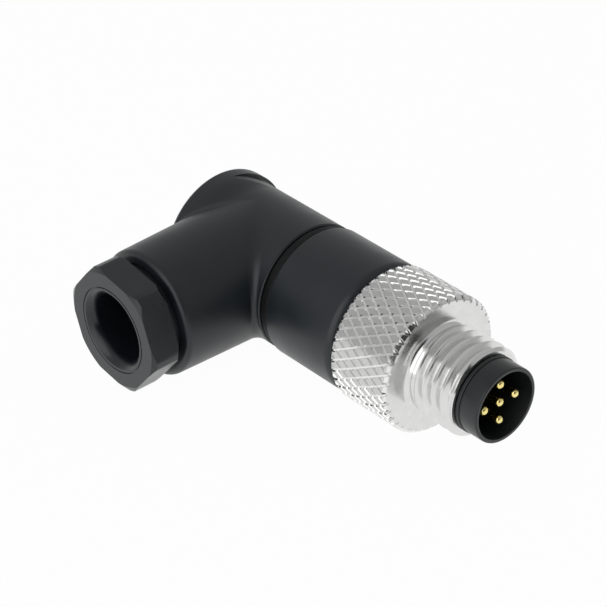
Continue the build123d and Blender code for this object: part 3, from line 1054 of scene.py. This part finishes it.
def key_rib():
    """Rib on the wall of the socket that fits the mating part one way only"""
    bm = bmesh.new()
    bmesh.ops.create_cube(bm, size=1)
    length = KEY_END - SOCKET_FLOOR + 2 * KEY_SINK
    height = KEY_HEIGHT + KEY_SINK
    bmesh.ops.scale(bm, vec=(length, height, KEY_WIDTH), verts=bm.verts)
    place = Vector((KEY_END - length / 2, SOCKET_R - KEY_HEIGHT + height / 2, 0))
    bmesh.ops.translate(bm, vec=place, verts=bm.verts)
    obj = new_object("rib", bm)
    obj.data.transform(Matrix.Rotation(KEY_ANGLE, 4, "X"))
    return obj


def contact_carrier(materials):
    obj = lathe(
        "contact_insert",
        rounded(
            (BOSS_BACK, 0),
            (BOSS_BACK, BOSS_R),
            (GASKET_FRONT, BOSS_R),
            (GASKET_FRONT, FLANGE_R),
            (FLANGE_FRONT, FLANGE_R),
            (FLANGE_FRONT, NECK_R),
            (FRONT_SEAL_BACK, NECK_R),
            (FRONT_SEAL_BACK, FRONT_SEAL_SEAT_R),
            (FRONT_SEAL_FRONT + FIT_GAP, FRONT_SEAL_SEAT_R),
            (FRONT_SEAL_FRONT + FIT_GAP, SHELL_R, RIM_EDGE_ROUND),
            (RIM_X, SHELL_R, RIM_ROUND),
            (RIM_X, MOUTH_R, RIM_EDGE_ROUND),
            (RIM_X - FLARE_LENGTH, SOCKET_R),
            (SOCKET_FLOOR, SOCKET_R),
            (SOCKET_FLOOR, 0),
        ),
    )
    obj = combined(obj, ("UNION", key_rib()))
    return finish_piece(obj, "insert", "carrier", materials["carrier"], "contact_carrier")


def contact_pin(materials, number, y, z):
    obj = lathe(
        f"gold_pin_{number}",
        rounded(
            (CUP_BACK, CUP_BORE_R),
            (CUP_BACK, CUP_R),
            (PIN_COLLAR_BACK, CUP_R),
            (PIN_COLLAR_BACK, PIN_COLLAR_R),
            (PIN_COLLAR_FRONT, PIN_COLLAR_R),
            (PIN_COLLAR_FRONT, PIN_R),
            (PIN_TIP, PIN_R, PIN_TIP_ROUND),
            (PIN_TIP, 0),
            (CUP_BORE_END, 0),
            (CUP_BORE_END, CUP_BORE_R),
            steps=10,
        ),
        steps=PIN_STEPS,
    )
    obj.data.transform(Matrix.Translation((0, y, z)))
    return finish_piece(obj, "insert", "gold", materials["gold"], f"contact_pin_{number}")


def contact_pins(materials):
    """Four pins on a circle and the fifth in the middle"""
    for number in range(4):
        turn = number * math.pi / 2
        y, z = PIN_CIRCLE_R * math.cos(turn), PIN_CIRCLE_R * math.sin(turn)
        contact_pin(materials, number + 1, y, z)
    contact_pin(materials, 5, 0, 0)


def seals(materials):
    front = lathe(
        "rim_seal",
        rounded(
            (FRONT_SEAL_BACK, FRONT_SEAL_SEAT_R + FIT_GAP),
            (FRONT_SEAL_BACK, FRONT_SEAL_R, FRONT_SEAL_ROUND),
            (FRONT_SEAL_FRONT, FRONT_SEAL_R, FRONT_SEAL_ROUND),
            (FRONT_SEAL_FRONT, FRONT_SEAL_SEAT_R + FIT_GAP),
            steps=8,
        ),
    )
    finish_piece(front, "insert", "seal", materials["front_seal"], "front_seal")
    seam = lathe(
        "seam_seal",
        rounded(
            (HOUSING_FRONT + FIT_GAP, SEAL_SEAT_R + FIT_GAP),
            (HOUSING_FRONT + FIT_GAP, HOUSING_R - SEAM_SETBACK, SEAM_ROUND),
            (SLEEVE_BACK - FIT_GAP, HOUSING_R - SEAM_SETBACK, SEAM_ROUND),
            (SLEEVE_BACK - FIT_GAP, SEAL_SEAT_R + FIT_GAP),
            steps=8,
        ),
    )
    finish_piece(seam, "elbow", "seal", materials["seal"], "housing_seal")


# Gland nut

def hexagon():
    bm = bmesh.new()
    corner_r = NUT_FLAT / math.cos(math.pi / 6)
    rings = []
    for x in (NUT_BACK, NUT_FACE):
        turns = [NUT_TURN + math.pi / 3 * k for k in range(6)]
        corners = [(x, corner_r * math.cos(t), corner_r * math.sin(t)) for t in turns]
        rings.append([bm.verts.new(corner) for corner in corners])
    for k in range(6):
        after = (k + 1) % 6
        bm.faces.new((rings[0][k], rings[0][after], rings[1][after], rings[1][k]))
    bm.faces.new(rings[0])
    bm.faces.new(rings[1])
    return new_object("hexagon_nut", bm)


def nut_funnel():
    """Outline points of the curved funnel at the nut's mouth"""
    rise = NUT_LIP_R - NUT_BORE_R
    radius = (NUT_FUNNEL**2 + rise**2) / (2 * rise)
    sweep = math.asin(NUT_FUNNEL / radius)
    turns = [sweep * s / FUNNEL_STEPS for s in range(FUNNEL_STEPS + 1)]
    start = NUT_FACE - NUT_FUNNEL
    return [(start + radius * math.sin(t), NUT_BORE_R + radius * (1 - math.cos(t))) for t in turns]


def nut_envelope():
    """Turned body whose cones bevel the hexagon's corners"""
    bevel = (NUT_CORNER_R - NUT_FACE_R) * math.tan(NUT_BEVEL_ANGLE)
    past = 0.2
    return lathe(
        "envelope",
        [
            (NUT_BACK - 1, 0),
            (NUT_BACK - 1, NUT_CORNER_R - NUT_BACK_BEVEL - 1),
            (NUT_BACK + NUT_BACK_BEVEL, NUT_CORNER_R),
            (NUT_FACE - bevel, NUT_CORNER_R),
            (NUT_FACE + past, NUT_FACE_R - past / math.tan(NUT_BEVEL_ANGLE)),
            (NUT_FACE + past, 0),
        ],
    )


def nut_bore():
    """Space inside the nut: the cone for the cage's fingers, the bore and the funnel"""
    mouth = nut_funnel()
    return lathe(
        "bore",
        [
            (NUT_SHANK_END - 1, 0),
            (NUT_SHANK_END - 1, NUT_CONE_R),
            (NUT_CONE_START, NUT_CONE_R),
            (NUT_CONE_END, NUT_BORE_R),
            *mouth,
            (NUT_FACE + 1, mouth[-1][1] + MOUTH_SPREAD),
            (NUT_FACE + 1, 0),
        ],
    )


def lip_groove():
    inner_r, outer_r = NUT_LIP_R + LIP_GROOVE_START, NUT_LIP_R + LIP_GROOVE_END
    return tube("lip_groove", NUT_FACE - LIP_GROOVE_DEPTH, NUT_FACE + 1, outer_r, inner_r)


def gland_nut(materials):
    obj = combined(
        hexagon(),
        ("INTERSECT", nut_envelope()),
        ("UNION", rod("shank", NUT_SHANK_END, NUT_BACK + 0.5, NUT_SHANK_R)),
        ("DIFFERENCE", nut_bore()),
        ("DIFFERENCE", lip_groove()),
    )
    return finish_piece(to_branch(obj), "nut", "nut", materials["nut"], "gland_nut")


# Inner CAD parts, shown as they are

def dress_inner_parts(materials):
    finishes = {
        "snap_ring": "spring_steel",
        "thrust_washer": "insulator",
        "clamp_cage": "insulator",
        "pin_retainer": "insulator",
        "rear_cap_seal": "seal",
        "carrier_seal": "seal",
        "cable_seal": "seal",
    }
    for node, finish in finishes.items():
        obj = frame["nodes"][node]
        obj.data.materials.clear()
        obj.data.materials.append(materials[finish])


# Floor, light and camera

def backdrop_material():
    """White where the camera or a reflection sees it, with a soft shadow kept"""
    material, nodes, links, shader = node_material("pale_floor")
    shader.inputs["Base Color"].default_value = (FLOOR_SHADE, FLOOR_SHADE, FLOOR_SHADE, 1)
    shader.inputs["Roughness"].default_value = FLOOR_ROUGHNESS
    shader.inputs["Specular IOR Level"].default_value = 0
    path = nodes.new("ShaderNodeLightPath")
    seen = nodes.new("ShaderNodeMath")
    seen.operation = "MAXIMUM"
    links.new(path.outputs["Is Camera Ray"], seen.inputs[0])
    links.new(path.outputs["Is Glossy Ray"], seen.inputs[1])
    glow = nodes.new("ShaderNodeEmission")
    glow.inputs["Color"].default_value = (1, 1, 1, 1)
    share = nodes.new("ShaderNodeMath")
    share.operation = "MULTIPLY"
    share.inputs[1].default_value = FLOOR_GLOW
    links.new(seen.outputs[0], share.inputs[0])
    mix = nodes.new("ShaderNodeMixShader")
    links.new(share.outputs[0], mix.inputs["Fac"])
    links.new(shader.outputs["BSDF"], mix.inputs[1])
    links.new(glow.outputs["Emission"], mix.inputs[2])
    links.new(mix.outputs["Shader"], nodes["Material Output"].inputs["Surface"])
    return material


def floor():
    bm = bmesh.new()
    bmesh.ops.create_circle(bm, cap_ends=True, segments=FLOOR_STEPS, radius=FLOOR_R)
    bmesh.ops.translate(bm, vec=(ELBOW_X / 2, 0, FLOOR_Z), verts=bm.verts)
    obj = new_object("floor", bm)
    obj.data.transform(Matrix.Scale(MM, 4))
    obj.data.materials.append(backdrop_material())


def sky_strength(nodes, links):
    """Strength of the surroundings: white low down, grey above, one dark patch at the front"""
    way = nodes.new("ShaderNodeTexCoord").outputs["Generated"]
    split = nodes.new("ShaderNodeSeparateXYZ")
    links.new(way, split.inputs["Vector"])
    along = split.outputs["X"]
    above = smooth_step(nodes, links, along, -SKY_SPREAD, SKY_SPREAD, SKY_BEHIND, SKY_AHEAD)
    sky = smooth_step(nodes, links, split.outputs["Z"], HORIZON_LOW, HORIZON_HIGH, 1, SKY_BEHIND)
    links.new(above, sky.node.inputs["To Max"])
    near = nodes.new("ShaderNodeVectorMath")
    near.operation = "DOT_PRODUCT"
    near.inputs[1].default_value = Vector(DARK_WAY).normalized()
    links.new(way, near.inputs[0])
    outside = math.cos(DARK_REACH)
    inside = math.cos(DARK_REACH - DARK_EDGE)
    dark = smooth_step(nodes, links, near.outputs["Value"], outside, inside, 1, DARK_STRENGTH)
    product = nodes.new("ShaderNodeMath")
    product.operation = "MULTIPLY"
    links.new(sky, product.inputs[0])
    links.new(dark, product.inputs[1])
    return product.outputs["Value"]


def world():
    sky = bpy.data.worlds.new("studio")
    bpy.context.scene.world = sky
    sky.use_nodes = True
    nodes, links = sky.node_tree.nodes, sky.node_tree.links
    background = nodes["Background"]
    background.inputs["Color"].default_value = (1, 1, 1, 1)
    links.new(sky_strength(nodes, links), background.inputs["Strength"])
    white = nodes.new("ShaderNodeBackground")
    white.inputs["Color"].default_value = (1, 1, 1, 1)
    white.inputs["Strength"].default_value = 1
    path = nodes.new("ShaderNodeLightPath")
    mix = nodes.new("ShaderNodeMixShader")
    links.new(path.outputs["Is Camera Ray"], mix.inputs["Fac"])
    links.new(background.outputs["Background"], mix.inputs[1])
    links.new(white.outputs["Background"], mix.inputs[2])
    links.new(mix.outputs["Shader"], nodes["World Output"].inputs["Surface"])


def key_lamp():
    """Large soft lamp, low at the front, that shines at the middle of the object"""
    lamp = bpy.data.lights.new("key", "AREA")
    lamp.shape = "RECTANGLE"
    lamp.size = lamp.size_y = LAMP_SIDE
    lamp.energy = LAMP_POWER
    obj = bpy.data.objects.new("key", lamp)
    way = Vector(LAMP_WAY).normalized()
    obj.location = Vector(LIT_PLACE) + way * LAMP_DISTANCE
    obj.rotation_euler = (-way).to_track_quat("-Z", "Y").to_euler()
    bpy.context.scene.collection.objects.link(obj)


def view_axes():
    """Right, up and back directions of the camera"""
    level = math.cos(VIEW_ELEVATION)
    back = Vector(
        (
            math.sin(VIEW_AZIMUTH) * level,
            -math.cos(VIEW_AZIMUTH) * level,
            math.sin(VIEW_ELEVATION),
        )
    )
    right = Vector((math.cos(VIEW_AZIMUTH), math.sin(VIEW_AZIMUTH), 0))
    up = back.cross(right)
    rolled_right = math.cos(VIEW_ROLL) * right + math.sin(VIEW_ROLL) * up
    rolled_up = -math.sin(VIEW_ROLL) * right + math.cos(VIEW_ROLL) * up
    return rolled_right, rolled_up, back


def camera():
    right, up, back = view_axes()
    data = bpy.data.cameras.new("camera")
    data.lens = VIEW_LENS
    data.sensor_width = VIEW_SENSOR
    data.clip_start = 0.01
    data.clip_end = 10
    obj = bpy.data.objects.new("camera", data)
    elbow = Vector((ELBOW_X * MM, 0, 0))
    place = elbow + back * VIEW_DISTANCE + right * VIEW_RIGHT - up * VIEW_DOWN
    turn = Matrix((right, up, back)).transposed().to_4x4()
    obj.matrix_world = Matrix.Translation(place) @ turn
    bpy.context.scene.collection.objects.link(obj)
    bpy.context.scene.camera = obj


def studio():
    floor()
    world()
    key_lamp()
    bpy.context.scene.view_settings.view_transform = "Standard"


def build():
    materials = make_materials()
    elbow_housing(materials)
    rear_cap(materials)
    front_sleeve(materials)
    coupling_ring(materials)
    contact_carrier(materials)
    contact_pins(materials)
    seals(materials)
    gland_nut(materials)
    dress_inner_parts(materials)


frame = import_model()
build()
studio()
camera()
